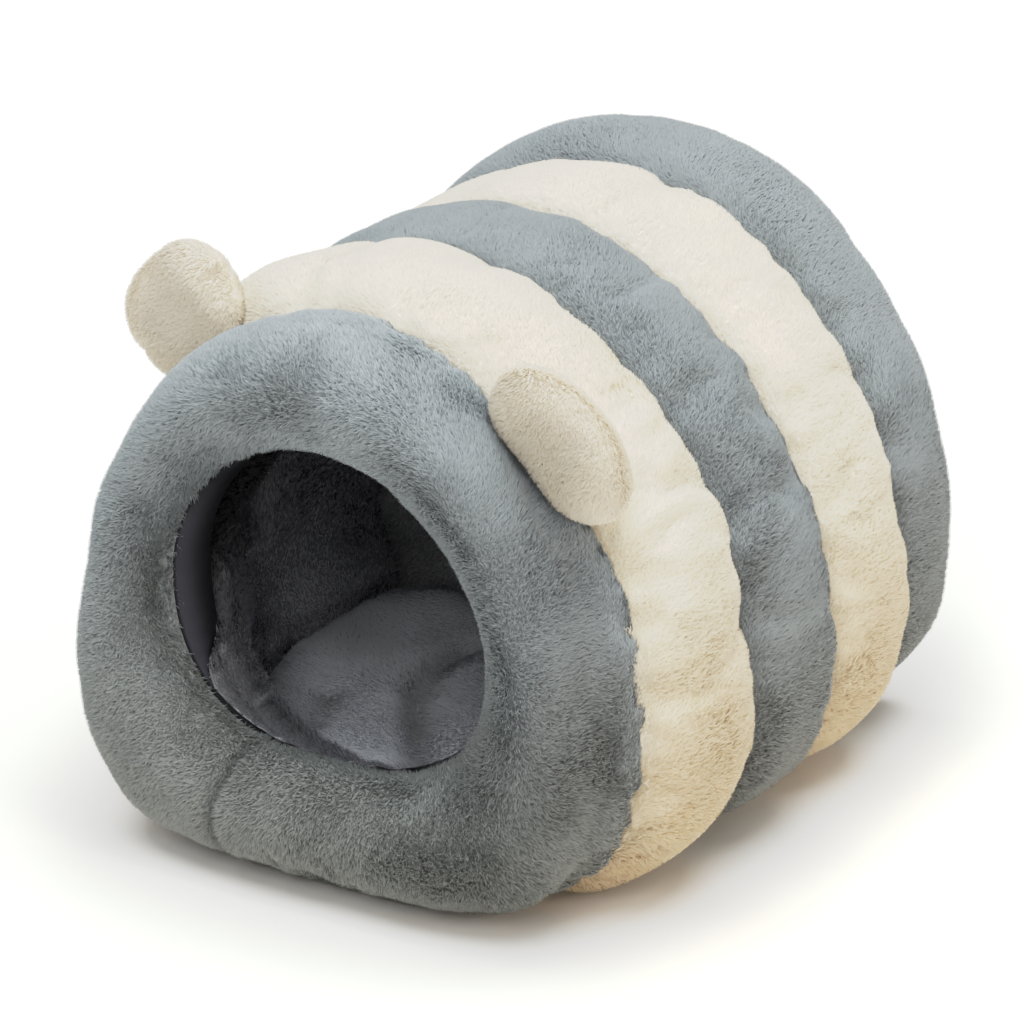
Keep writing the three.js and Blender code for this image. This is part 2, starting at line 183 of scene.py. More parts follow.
def add_node(tree, kind, settings=(), **links):
    """Adds a node, sets its own properties and sockets, and links sockets by name."""
    node = tree.nodes.new(kind)
    for name, value in dict(settings).items():
        if hasattr(node, name) and name not in node.inputs:
            setattr(node, name, value)
        else:
            node.inputs[name].default_value = value
    for name, source in links.items():
        socket = node.inputs[int(name[1:])] if name[1:].isdigit() else node.inputs[name.replace("_", " ")]
        tree.links.new(source, socket)
    return node


def new_material(name):
    material = bpy.data.materials.new(name)
    material.use_nodes = True
    tree = material.node_tree
    tree.nodes.clear()
    return material, tree


def finish_material(tree, shader):
    output = add_node(tree, "ShaderNodeOutputMaterial")
    tree.links.new(shader, output.inputs["Surface"])


def product(tree, first, second):
    node = add_node(tree, "ShaderNodeMath", {"operation": "MULTIPLY"}, _0=first, _1=second)
    return node.outputs["Value"]


def dimmed(tree, colour, share):
    node = add_node(tree, "ShaderNodeVectorMath", {"operation": "SCALE"}, _0=colour, Scale=share)
    return node.outputs["Vector"]


def set_ramp(node, stops):
    ramp = node.color_ramp
    while len(ramp.elements) < len(stops):
        ramp.elements.new(0.5)
    for element, (place, colour) in zip(ramp.elements, stops):
        element.position = place
        element.color = (*colour, 1)


def with_floor_shade(tree, place, colour, low):
    """A colour with painted warm shade near the floor: multiplied by low at the floor, and as it was
    from FLOOR_SHADE_HEIGHT up.
    """
    spot = add_node(tree, "ShaderNodeSeparateXYZ", _0=place)
    height = add_node(tree, "ShaderNodeMapRange", {"From Max": FLOOR_SHADE_HEIGHT}, Value=spot.outputs["Z"])
    share = add_node(tree, "ShaderNodeValToRGB", _0=height.outputs["Result"])
    set_ramp(share, [(0.0, low), (1.0, (1, 1, 1))])
    both = add_node(tree, "ShaderNodeVectorMath", {"operation": "MULTIPLY"}, _0=colour,
                    _1=share.outputs["Color"])
    return both.outputs["Vector"]


def strand_material(name, root, middle, tip, patch, low, sheen):
    """Brushed polyester plush, seen strand by strand: painted shade where light can't reach the roots, pale
    and silky at the tips, and mottled with patches of painted light and shade where the pile lies one way
    or the other. Near the floor painted warm shade makes it yellower and darker. Half of the light that a
    strand scatters goes through it, which makes the pile soft."""
    material, tree = new_material(name)
    strand = add_node(tree, "ShaderNodeUVMap", {"uv_map": "strand"})
    parts = add_node(tree, "ShaderNodeSeparateXYZ", _0=strand.outputs["UV"])
    along = add_node(tree, "ShaderNodeValToRGB", _0=parts.outputs["Y"])
    set_ramp(along, [(0.0, root), (0.45, middle), (0.85, tip)])
    place = add_node(tree, "ShaderNodeTexCoord").outputs["Object"]
    # Patches of painted light and shade, where the brushed pile lies one way or the other, are about 35 mm
    # across
    patches = add_node(tree, "ShaderNodeTexNoise", {"Scale": 28.0, "Detail": 3.0, "Roughness": 0.6},
                       Vector=place)
    light = add_node(tree, "ShaderNodeMapRange", {"From Min": 0.3, "From Max": 0.7, "To Min": 1 - patch,
                                                  "To Max": 1 + patch}, Value=patches.outputs["Fac"])
    tone = product(tree, light.outputs["Result"], parts.outputs["X"])
    colour = with_floor_shade(tree, place, dimmed(tree, along.outputs["Color"], tone), low)
    shader = add_node(tree, "ShaderNodeBsdfPrincipled",
                      {"Roughness": 0.82, "Sheen Weight": sheen, "Sheen Roughness": 0.45,
                       "Specular IOR Level": 0.25}, Base_Color=colour)
    through = add_node(tree, "ShaderNodeBsdfTranslucent", Color=colour)
    mix = add_node(tree, "ShaderNodeMixShader", {"Fac": 0.5}, _1=shader.outputs["BSDF"],
                   _2=through.outputs["BSDF"])
    finish_material(tree, mix.outputs["Shader"])
    return material


def backing_material(name, deep, shallow, low):
    """The knitted backing between the strands' roots: matt and darker than the pile, with a grain of
    roots about 1.7 mm apart, coarser than real ones so that it shows, with the painted light and shade of
    its tone attribute and painted warm shade near the floor."""
    material, tree = new_material(name)
    place = add_node(tree, "ShaderNodeTexCoord").outputs["Object"]
    roots = add_node(tree, "ShaderNodeTexNoise", {"Scale": 600.0, "Detail": 2.0},
                     Vector=place)
    colour = add_node(tree, "ShaderNodeValToRGB", _0=roots.outputs["Fac"])
    set_ramp(colour, [(0.35, deep), (0.65, shallow)])
    # The tone attribute carries painted shade and painted light
    tone = add_node(tree, "ShaderNodeAttribute", {"attribute_name": "tone"})
    toned = with_floor_shade(tree, place, dimmed(tree, colour.outputs["Color"], tone.outputs["Fac"]), low)
    bump = add_node(tree, "ShaderNodeBump", {"Strength": 0.4, "Distance": 0.0015},
                    Height=roots.outputs["Fac"])
    shader = add_node(tree, "ShaderNodeBsdfPrincipled", {"Roughness": 0.95, "Specular IOR Level": 0.1},
                      Base_Color=toned, Normal=bump.outputs["Normal"])
    finish_material(tree, shader.outputs["BSDF"])
    return material


def facing_material():
    """Dark woven polyester of the mouth's facing: smooth beside the pile, with a weave of threads 1.6 mm
    apart, coarser than the real one so that it shows, no gloss, and painted shade high in the mouth and
    along its front edge."""
    material, tree = new_material("woven polyester facing")
    place = add_node(tree, "ShaderNodeTexCoord").outputs["Object"]
    warp, weft = (add_node(tree, "ShaderNodeTexWave",
                           {"bands_direction": way, "Scale": 200.0, "Distortion": 1.0},
                           Vector=place) for way in ("Y", "Z"))
    weave = product(tree, warp.outputs["Fac"], weft.outputs["Fac"])
    colour = add_node(tree, "ShaderNodeValToRGB", _0=weave)
    set_ramp(colour, [(0.0, linear("#403f45")), (1.0, linear("#47464d"))])
    spot = add_node(tree, "ShaderNodeSeparateXYZ", _0=place)
    height = add_node(tree, "ShaderNodeMapRange", {"From Min": FACING_SHADE[0], "From Max": FACING_SHADE[1],
                                                   "To Min": 1.0, "To Max": 0.3}, Value=spot.outputs["Z"])
    # Painted shade along its front edge, as if the ring's lip kept the light from it
    edge = add_node(tree, "ShaderNodeMapRange", {"From Min": FACING_FRONT, "To Min": 0.25, "To Max": 1.0,
                                                 "From Max": FACING_FRONT + 2.4 * MM},
                    Value=spot.outputs["Y"])
    tone = product(tree, height.outputs["Result"], edge.outputs["Result"])
    bump = add_node(tree, "ShaderNodeBump", {"Strength": 0.15, "Distance": 0.0003}, Height=weave)
    shader = add_node(tree, "ShaderNodeBsdfPrincipled", {"Roughness": 0.9, "Specular IOR Level": 0.1},
                      Base_Color=dimmed(tree, colour.outputs["Color"], tone),
                      Normal=bump.outputs["Normal"])
    finish_material(tree, shader.outputs["BSDF"])
    return material


# Covers


def link(name, mesh):
    piece = bpy.data.objects.new(name, mesh)
    bpy.context.scene.collection.objects.link(piece)
    return piece


def copy_of(node, name):
    """A copy of a CAD node's mesh with its corners merged."""
    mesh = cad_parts[node].data.copy()
    mesh.name = name
    mesh.materials.clear()
    shape = bmesh.new()
    shape.from_mesh(mesh)
    bmesh.ops.remove_doubles(shape, verts=shape.verts, dist=0.02 * MM)
    shape.to_mesh(mesh)
    shape.free()
    for layer in list(mesh.uv_layers):
        mesh.uv_layers.remove(layer)
    if "custom_normal" in mesh.attributes:
        mesh.attributes.remove(mesh.attributes["custom_normal"])
    return link(name, mesh)


def settled(piece):
    """Puts what a piece's modifiers make into its mesh and removes them."""
    graph = bpy.context.evaluated_depsgraph_get()
    mesh = bpy.data.meshes.new_from_object(piece.evaluated_get(graph))
    old = piece.data
    piece.modifiers.clear()
    piece.data = mesh
    bpy.data.meshes.remove(old)
    mesh.name = piece.name
    return piece


def remeshed(piece, voxel, smoothing=3):
    """Even quads all over the piece, with the steps of the voxels smoothed away."""
    remesh = piece.modifiers.new("even quads", "REMESH")
    remesh.mode = "VOXEL"
    remesh.voxel_size = voxel
    settled(piece)
    shape = bmesh.new()
    shape.from_mesh(piece.data)
    for _ in range(smoothing):
        bmesh.ops.smooth_vert(shape, verts=shape.verts, factor=0.5, use_axis_x=True, use_axis_y=True,
                              use_axis_z=True)
    bmesh.ops.recalc_face_normals(shape, faces=shape.faces)
    shape.to_mesh(piece.data)
    shape.free()
    return piece


def places_and_normals(mesh):
    return read(mesh.vertices, "co"), read(mesh.vertices, "normal")


def unit(vectors):
    return vectors / np.maximum(np.linalg.norm(vectors, axis=1, keepdims=True), 1e-12)


def spokes_to(places):
    """The way to each spot, square from the line round which the rings are wound."""
    return places * [1, 0, 1] - [0, 0, AXIS_HEIGHT]


def way_round(places):
    """The way round that line at each spot, against the clock as seen from the mouth."""
    spokes = spokes_to(places)
    return unit(np.stack([-spokes[:, 2], np.zeros(len(places)), spokes[:, 0]], 1))


def turned(places, x=0, z=AXIS_HEIGHT):
    """At what angle each spot is round a line along Y, in degrees."""
    return np.degrees(np.arctan2(places[:, 2] - z, places[:, 0] - x))


def middle_of(node):
    lowest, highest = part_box(node)
    return (lowest + highest) / 2


def outwardness(places, normals):
    """How squarely each spot faces away from the line round which the rings are wound."""
    return (unit(spokes_to(places)) * normals).sum(1)


def shows(node, places, normals):
    """How much each spot of a cover shows: 1 in the open, 0 in a seam or against another piece."""
    outward = outwardness(places, normals)
    y = places[:, 1]
    if node == "front_ring":
        lip = (outward < 0.2) & (y < LIP_END)
        return np.where(lip, 1, soft_step(0.15, 0.6, np.maximum(outward, -normals[:, 1])))
    if node == "rear_ring":
        return soft_step(0.15, 0.6, np.maximum(outward, normals[:, 1]))
    if node == "back_panel":
        return soft_step(0.3, 0.7, np.abs(normals[:, 1]))
    if node == "lining":
        return soft_step(0.1, 0.4, -outward) * (y < WALL_END) * soft_step(-177 * MM, -163 * MM, y)
    if node == "cushion":
        return soft_step(-0.5, 0.0, normals[:, 2])
    if node.endswith("ear"):
        return np.ones(len(places))
    return soft_step(0.15, 0.6, outward)


def lumps(places, size, phase):
    """Uneven stuffing at each place, from -1 to 1, in lumps of about that size."""
    shift = Vector((phase, 0.7 * phase, 1.3 * phase))
    return np.array([noise.noise(Vector(place) / size + shift) for place in places.tolist()])


def creased(node, places):
    """How deep a piece's creases are at each spot, and how dark their painted shade is: 0 away from them,
    and up to 1 in them.
    """
    depth, near = np.zeros(len(places)), np.zeros(len(places))
    for crease in CREASES.get(node, ()):
        flat = places[:, crease.axes]
        points = np.array(crease.points) * MM
        distance = np.full(len(places), np.inf)
        for start, end in zip(points[:-1], points[1:]):
            run = end - start
            share = np.clip((flat - start) @ run / (run @ run), 0, 1)
            distance = np.minimum(distance, np.linalg.norm(flat - start - share[:, None] * run, axis=1))
        inside = (places[:, 1] > crease.front * MM) & (places[:, 1] < crease.rear * MM)
        closeness = bell(distance, crease.width * MM) * inside
        depth = np.maximum(depth, crease.depth * MM * closeness)
        near = np.maximum(near, crease.dark * closeness)
    return depth, near


def swollen(piece, held, pressure, cap, slack):
    """Blows the closed cover up with Blender's Cloth, fixed where held says so. No point moves by more
    than cap, and slack is the share by which the cloth is cut larger than the shape, which wrinkles it."""
    mesh = piece.data
    start = read(mesh.vertices, "co")
    group = piece.vertex_groups.new(name="held")
    group.add(np.flatnonzero(held).tolist(), 1, "REPLACE")
    cloth = piece.modifiers.new("stuffing", "CLOTH")
    settings = cloth.settings
    settings.quality = 4
    settings.mass = 0.3
    settings.use_pressure = True
    settings.uniform_pressure_force = pressure
    settings.effector_weights.gravity = 0
    settings.vertex_group_mass = group.name
    settings.shrink_min = -slack
    settings.shrink_max = -slack
    cloth.collision_settings.use_collision = False
    for step in range(1, 21):
        bpy.context.scene.frame_set(step)
    graph = bpy.context.evaluated_depsgraph_get()
    blown = piece.evaluated_get(graph).to_mesh()
    moved = read(blown.vertices, "co") - start
    piece.evaluated_get(graph).to_mesh_clear()
    length = np.linalg.norm(moved, axis=1, keepdims=True)
    moved *= np.minimum(1, cap / np.maximum(length, 1e-9))
    write(mesh.vertices, "co", start + moved)
    piece.modifiers.clear()
    piece.vertex_groups.clear()
    bpy.context.scene.frame_set(1)
    mesh.update()


def seam_distance(node, places):
    """How far each spot of a ring is along Y from the ring's nearest seam."""
    lowest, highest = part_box(node)
    front, rear = places[:, 1] - lowest.y, highest.y - places[:, 1]
    return rear if node == "front_ring" else front if node == "rear_ring" else np.minimum(front, rear)


def beside_seam(node, places, width):
    """How close each spot of a ring is to its nearest seam, from 1 on it to 0 well past that width."""
    return bell(np.maximum(seam_distance(node, places), 0), width)


def unevenness(node, places, lump, pucker):
    """How far each spot of a stuffed cover stands out where it is gathered along its seams, tucked across
    itself and filled unevenly."""
    lowest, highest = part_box(node)
    seed = PILES[node].seed
    seam = seam_distance(node, places)
    # Gathers of a seam are some 20 mm apart along it, and tucks that cross a ring 30 to 60 mm
    around = unit(spokes_to(places)) * RING_RADIUS
    ends = np.where(places[:, 1] - lowest.y < highest.y - places[:, 1], 0.0, 1.0)
    gathers = pucker * lumps(around + ends[:, None], 20 * MM, seed) * bell(seam, 16 * MM)
    tucks = lumps(around + 0.35 * places * [0, 1, 0], 62 * MM, seed + 2.0)
    tucks = -0.7 * pucker * bell(tucks, 0.15) * (0.45 + 0.55 * bell(seam, 28 * MM))
    if node == "front_ring":
        gathers *= 0.3
        tucks *= 0.25
    return gathers + tucks + lump * lumps(places, 42 * MM, seed + 5.0)


def ear_shape(node, places, normals):
    """How far each spot of an ear is drawn out towards its rim, and how far it stands out."""
    middle = middle_of(node)
    off_middle = (places - list(middle)) * [1, 0, 1]
    away = np.linalg.norm(off_middle, axis=1)
    drawn = by_angle(EAR_SWELL[node], turned(places, middle.x, middle.z)) * (away / (40 * MM)) ** 2
    # The ear's face is hollow in its middle
    hollow = -2.5 * MM * bell(away, 19 * MM) * (normals[:, 1] < -0.3)
    return unit(off_middle) * drawn[:, None], hollow


def ring_swell(node, places, normals):
    """How far each spot of a ring or of the back stands out past its solid."""
    swell = by_angle(SWELL[node], turned(places))
    if node == "cream_ring_1":
        # The face ring's edge lies over its front
        front = places[:, 1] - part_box(node)[0].y
        swell = swell * soft_step(4 * MM, 34 * MM, front) - 1.2 * MM * bell(front, 12 * MM)
    if node == "front_ring":
        lip = by_angle(LIP, turned(places, *MOUTH))
        swell += lip * soft_step(0.3, -0.3, outwardness(places, normals)) * (places[:, 1] < LIP_REAR)
    return swell


def face_ring_edges(places, normals, above_floor):
    """How far each spot of the face ring moves where its edge laps over the seam behind it, and where its
    front rolls in under it at the floor."""
    lap = by_angle(LAP, turned(places)) * bell(seam_distance("front_ring", places), 10 * MM)
    lap *= soft_step(0.0, 0.3, outwardness(places, normals)) * above_floor
    rolled = bell(places[:, 2], 18 * MM) * soft_step(-175 * MM, -212 * MM, places[:, 1])
    return ((0.8 * unit(spokes_to(places)) + [0, 0.6, 0]) * lap[:, None]
            + np.array([0, 12 * MM, 6 * MM]) * rolled[:, None])


def stuffed_cover(node, name, voxel, lump, pucker, smoothing=3):
    """A stuffed piece's cover: the solid, swollen a little, gathered along its seams, creased and lumpy,
    and blown up. It stays flat on the floor."""
    piece = remeshed(copy_of(node, name), voxel, smoothing)
    places, normals = places_and_normals(piece.data)
    open_share = shows(node, places, normals)
    depth, _ = creased(node, places)
    above_floor = soft_step(2 * MM, 12 * MM, places[:, 2])
    drawn = 0
    if node in EAR_SWELL:
        drawn, swell = ear_shape(node, places, normals)
    else:
        swell = ring_swell(node, places, normals)
    if node == "front_ring":
        drawn = face_ring_edges(places, normals, above_floor)
    swell = (unevenness(node, places, lump, pucker) + swell) * open_share - depth
    write(piece.data.vertices, "co", places + normals * (swell * above_floor)[:, None] + drawn)
    piece.data.update()
    swollen(piece, open_share * above_floor < 0.4, pressure=4.0, cap=2 * MM, slack=0.03)
    return piece


# Pile


def strand_shape():
    """One strand, from its root at 0 to its tip at 1 along X and 1 wide at its root, rising to 1: its
    corners' places and its face."""
    shape = bmesh.new()
    bmesh.ops.create_circle(shape, segments=3, radius=1, cap_ends=True)
    tip = max(shape.verts, key=lambda vert: vert.co.y)
    for vert in shape.verts:
        vert.co = (1, 0, 1) if vert is tip else (0, math.copysign(0.5, -vert.co.x), 0)
    shape.normal_update()
    if shape.faces[:][0].normal.z < 0:
        bmesh.ops.reverse_faces(shape, faces=shape.faces)
    shape.verts.index_update()
    places = np.array([vert.co for vert in shape.verts])
    faces = np.array([[vert.index for vert in face.verts] for face in shape.faces])
    shape.free()
    return places, faces


def comb_lines(places, normals, nap, swirl, phase):
    """The way the pile lies at each spot: turned from the way round the bed by its nap, by slow swirls
    and by smaller ones."""
    around = way_round(places)
    around = unit(around - normals * (around * normals).sum(1)[:, None])
    across = np.cross(normals, around)
    turn = 2.2 * swirl * lumps(places, 70 * MM, phase) + 1.2 * swirl * lumps(places, 26 * MM, phase + 3.0)
    turn += nap
    return around * np.cos(turn)[:, None] + across * np.sin(turn)[:, None]


def under_ears(places):
    """How close each spot is to an ear, from 1 where they touch to 0."""
    close = np.zeros(len(places))
    for node in ("left_ear", "right_ear"):
        lowest, highest = (np.array(corner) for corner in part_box(node))
        shape = bmesh.new()
        shape.from_mesh(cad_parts[node].data)
        tree = BVHTree.FromBMesh(shape)
        shape.free()
        near_box = ((places > lowest - 8 * MM) & (places < highest + 8 * MM)).all(1)
        for index in np.flatnonzero(near_box).tolist():
            distance = tree.find_nearest(places[index])[3]
            close[index] = max(close[index], bell(distance, 4 * MM))
    return close


def painted_light_and_shade_at(node, places):
    """How painted shade and painted light make a piece's plush darker or lighter at each spot beside the
    rest of it.
    """
    # Painted shade in the creases
    tone = 1 - 0.5 * creased(node, places)[1]
    if node == "front_ring":
        # Painted shadow where the ears lie over it
        tone *= 1 - 0.45 * under_ears(places)
        # Painted shade on its right side, and painted light beside its rear seam and at its top
        tone *= 1 - 0.16 * soft_step(40 * MM, 120 * MM, places[:, 0])
        tone *= 1 + 0.18 * beside_seam(node, places, 9 * MM)
        tone *= 1 + 0.1 * soft_step(220 * MM, 300 * MM, places[:, 2])
    elif "ring" in node:
        # Painted shade beside its seams
        tone *= 1 - 0.18 * beside_seam(node, places, 7 * MM)
    if node.endswith("ear"):
        # Painted shade in its middle and painted light at its rim
        away = (places - list(middle_of(node)))[:, [0, 2]]
        tone *= 0.95 + 0.12 * soft_step(14 * MM, 34 * MM, np.linalg.norm(away, axis=1))
    if node == "lining":
        # Painted shade makes the wall dark high in the mouth beside the facing and high in the cave, and
        # painted light makes it as light as the pad low down
        beside = soft_step(-10 * MM, -95 * MM, places[:, 1])
        tone *= 1 - 0.85 * beside * soft_step(135 * MM, 180 * MM, places[:, 2])
        tone *= 1 - 0.4 * soft_step(150 * MM, 220 * MM, places[:, 2])
        tone *= 1 + 0.5 * soft_step(160 * MM, 90 * MM, places[:, 2])
        # Painted shade at the front of the wall, where it laps over the facing
        edge = soft_step(-112 * MM, -138 * MM, places[:, 1])
        tone *= 1 - edge * (0.4 + 0.3 * soft_step(100 * MM, 125 * MM, places[:, 2]))
    return tone


def rooted(mesh, share, count, dice):
    """Where strands are rooted, evenly at random over the faces where share says that they show: the
    corners of each strand's face and how much of each corner its root has. None is rooted on the floor."""
    mesh.calc_loop_triangles()
    places, normals = places_and_normals(mesh)
    corners = np.empty(len(mesh.loop_triangles) * 3, np.int32)
    mesh.loop_triangles.foreach_get("vertices", corners)
    corners = corners.reshape(-1, 3)
    edges = places[corners]
    area = np.linalg.norm(np.cross(edges[:, 1] - edges[:, 0], edges[:, 2] - edges[:, 0]), axis=1)
    grounded = (places[corners, 2].max(1) < 2.5 * MM) & (normals[corners, 2].mean(1) < -0.8)
    reach = np.cumsum(area * share[corners].mean(1) * ~grounded)
    spots = (np.arange(count) + dice.random(count)) / count * reach[-1]
    chosen = corners[np.searchsorted(reach, spots).clip(0, len(corners) - 1)]
    first, second = dice.random((2, count))
    folded = first + second > 1
    first, second = np.where(folded, 1 - first, first), np.where(folded, 1 - second, second)
    return chosen, np.stack([1 - first - second, first, second], 1)


def lock_middles(root, tip, size):
    """The middle of the lock that each strand ends in: strands rooted near each other share one."""
    wobble = 0.35 * np.sin(root[:, [1, 2, 0]] * 400) + 0.35 * np.sin(root[:, [2, 0, 1]] * 730)
    cells = np.floor(root / size + wobble).astype(np.int64)
    # One number for each cell
    keys = cells @ np.array([1, 4001, 4001 ** 2])
    _, lock, sizes = np.unique(keys, return_inverse=True, return_counts=True)
    lock = lock.ravel()
    return np.stack([np.bincount(lock, tip[:, axis]) / sizes for axis in range(3)], 1)[lock]


def strands_mesh(name, made, faces):
    """A mesh of all the strands, from the places of their corners."""
    count, per = made.shape[:2]
    indices = (faces[None] + per * np.arange(count)[:, None, None]).reshape(-1, 3)
    mesh = bpy.data.meshes.new(name)
    mesh.vertices.add(count * per)
    mesh.loops.add(indices.size)
    mesh.polygons.add(len(indices))
    write(mesh.vertices, "co", made)
    mesh.loops.foreach_set("vertex_index", indices.astype(np.int32).ravel())
    mesh.polygons.foreach_set("loop_start", np.arange(0, indices.size, 3, dtype=np.int32))
    mesh.update(calc_edges=True)
    return mesh


def lit_side(node, root, normal, around, own, rough):
    """The way each strand faces when it is lit, which is more that of the plush round it than its own."""
    rounded = ROUNDED.get(node, 0)
    plush_side = unit(normal * (1 - rounded) + unit(spokes_to(root)) * rounded)
    if node in FOLDED:
        # Faint folds cross the ring; they are too fine for the cover's own faces
        squeezed = root * [1, 0.25, 1]
        slope = lumps(squeezed + around * 1.5 * MM, 13 * MM, 4.0) - lumps(squeezed, 13 * MM, 4.0)
        slope *= FOLDED[node] * soft_step(60 * MM, 130 * MM, root[:, 0])
        plush_side = unit(plush_side - around * slope[:, None])
    own_share = (0.2 + 0.2 * rough)[:, None]
    return unit((1 - own_share) * plush_side + own_share * own)


def lay_pile(cover, node, name, material, share, part=1.0):
    """Lays a piece's pile, or a part of it, on its cover: copies of one strand, rooted evenly at random
    where share says that the cover shows, combed, and drawn together in locks."""
    pile = PILES[node]
    dice = np.random.default_rng(pile.seed)
    places, normals = places_and_normals(cover.data)
    combed = comb_lines(places, normals, pile.nap, pile.swirl, float(pile.seed))
    lie = lumps(places, 30 * MM, pile.seed + 9.0)
    # Where the pile is ruffled and where it is brushed flat, in areas about 80 mm across
    ruffled = soft_step(-0.35, 0.35, lumps(places, 80 * MM, pile.seed + 1.0) + 0.3 + pile.ruffle
                        - 0.7 * normals[:, 2])
    count = int(pile.strands * part)
    chosen, weights = rooted(cover.data, share, count, dice)

    def mixed(values):
        return np.einsum("nk,nk...->n...", weights, values[chosen])

    root, normal, rough = mixed(places), unit(mixed(normals)), mixed(ruffled)
    _, near = creased(node, root)
    seamed = beside_seam(node, root, 8 * MM) if "ring" in node else 0 * near
    lengths = pile.length * MM * (0.8 + 0.4 * dice.random(count)) * (1 - 0.3 * seamed)
    height = pile.height * MM * (1 + 0.25 * mixed(lie)) * (0.8 + 0.4 * dice.random(count))
    height *= (1 - 0.5 * near) * (0.8 + 0.3 * rough) * (1 - 0.5 * seamed)
    if node == "lining":
        # Clipped short where the wall laps over the facing
        clipped = 1 - 0.6 * soft_step(-138 * MM, -160 * MM, root[:, 1])
        lengths, height = lengths * clipped, height * clipped
    turn = dice.normal(0, 1, count) * (0.35 + 0.45 * rough) * (1 - 0.6 * seamed)
    # Along a seam the pile lies with it
    around = way_round(root)
    way = unit(unit(mixed(combed)) * (1 - seamed)[:, None] + around * (1.2 * seamed)[:, None])
    way = way * np.cos(turn)[:, None] + np.cross(normal, way) * np.sin(turn)[:, None]
    way = unit(way - normal * (way * normal).sum(1)[:, None])
    run = np.sqrt(np.maximum(lengths ** 2 - height ** 2, (0.3 * lengths) ** 2))
    tip = root + way * run[:, None] + normal * height[:, None]
    gathered = (0.35 * dice.random(count) + 0.1)[:, None]
    strand_tip = tip + (lock_middles(root, tip, pile.lock * MM) - tip) * gathered
    strand_tip[:, 2] = np.maximum(strand_tip[:, 2], 0.4 * MM)
    lean = strand_tip - root
    rise = (lean * normal).sum(1)
    flat = lean - normal * rise[:, None]
    twist = dice.uniform(-0.8, 0.8, count) * (0.4 + 0.6 * rough)
    side = np.cross(normal, unit(flat))
    side = side * np.cos(twist)[:, None] + normal * np.sin(twist)[:, None]
    width = pile.width * MM * (0.7 + 0.6 * dice.random(count))

    shape, faces = strand_shape()
    made = (root[:, None] + shape[None, :, :1] * flat[:, None]
            + shape[None, :, 1:2] * (side * width[:, None])[:, None]
            + shape[None, :, 2:] * (normal * rise[:, None])[:, None])
    made[:, :, 2] = np.maximum(made[:, :, 2], 0.2 * MM)
    mesh = strands_mesh(name, made, faces)
    # Each strand's tone strays at random and carries the painted shade and light of its spot
    tones = pile.tone * (1 + pile.grain * (0.3 + 0.7 * rough) * dice.uniform(-1, 0.85, count))
    tones *= painted_light_and_shade_at(node, root)
    corner_shape = shape[faces.ravel()]
    # Where the pile is brushed flat its roots don't show, so the painted shade at its roots is weaker
    hidden = 0.4 * (1 - rough)[:, None]
    along = hidden + (1 - hidden) * corner_shape[:, 0]
    strand = np.stack([np.repeat(tones, len(corner_shape)), along.ravel()], 1)
    write(mesh.uv_layers.new(name="strand").uv, "vector", strand)
    # The map that a bake fills: a small square for each strand
    rows = math.ceil(math.sqrt(count))
    cell = np.stack(np.divmod(np.arange(count), rows), 1)
    inside = 0.1 + 0.8 * np.stack([corner_shape[:, 0], corner_shape[:, 1] + 0.5], 1)
    write(mesh.uv_layers.new(name="OFBake").uv, "vector", (cell[:, None] + inside[None]) / rows)
    first, second, third = (made[:, index] for index in faces[0])
    own = unit(np.cross(second - first, third - first))
    facing = lit_side(node, root, normal, around, own, rough)
    mesh.normals_split_custom_set_from_vertices(np.repeat(facing, len(shape), axis=0).astype(np.float32))
    mesh.materials.append(material)
    return link(name, mesh)


def dress(cover, node, backing, strands):
    """Gives a cover its backing and its pile, and says what both stand for."""
    mesh = cover.data
    mesh.materials.clear()
    mesh.materials.append(backing)
    mesh.shade_smooth()
    places, normals = places_and_normals(mesh)
    # The backing's tone: the pile's lightness with the painted shade and light of each spot
    tone = mesh.attributes.new("tone", "FLOAT", "POINT")
    write(tone.data, "value", PILES[node].tone * painted_light_and_shade_at(node, places))
    share = shows(node, places, normals)
    piles = [(f"{node}_pile", strands, share, 1.0)]
    if node == "back_panel":
        # The face that closes the cave has the pile of its wall
        inner = normals[:, 1] < 0
        piles = [(f"{node}_pile", strands, share * ~inner, 0.7),
                 (f"{node}_inner_pile", plush("wall")[0], share * inner, 0.3)]
    for name, material, part_share, part in piles:
        pile = lay_pile(cover, node, name, material, part_share, part)
        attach(pile, "root")
    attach(cover, "root")
    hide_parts(node)


# Settings


def pile_colour(name, what, tip):
    return FloatVectorProperty(name=name, description=f"Tips of the pile of {what}", subtype="COLOR",
                               size=3, min=0, max=1, default=linear(tip))


def cover_size(name, description, least, most, usual):
    return FloatProperty(name=name, description=description, unit="LENGTH", min=least, max=most,
                         default=usual)


class CaveBedColours(bpy.types.PropertyGroup):
    grey: pile_colour("Grey pile", "the grey rings and the back", "#bec4c6")
    cream: pile_colour("Cream pile", "the cream rings", "#faf3e3")
    ear: pile_colour("Ear pile", "the ears", "#f8f0e1")
    wall: pile_colour("Wall pile", "the cave's wall", "#c4c3c8")
    pad: pile_colour("Pad pile", "the floor pad", "#e8eaee")


class CaveBedSizes(bpy.types.PropertyGroup):
    voxel: cover_size("Cover mesh", "Size of a face of the rings' covers", 3 * MM, 20 * MM, 7 * MM)
    lump: cover_size("Lumps", "Height of the lumps of the stuffing", 0, 10 * MM, 2.6 * MM)
    pucker: cover_size("Gathers", "Depth of the gathers along a seam", 0, 10 * MM, 3 * MM)
    key_light: FloatProperty(name="Key light", description="Strength of the large soft light from above",
                             min=0, max=20, default=4.3)
    sky_light: FloatProperty(name="Sky light", description="Strength of the even light all round",
                             min=0, max=5, default=0.42)


def shades(tip, roots, middles):
    """The colours of a strand from its root to its tip."""
    return tuple(part * roots for part in tip), tuple(part * middles for part in tip), tuple(tip)


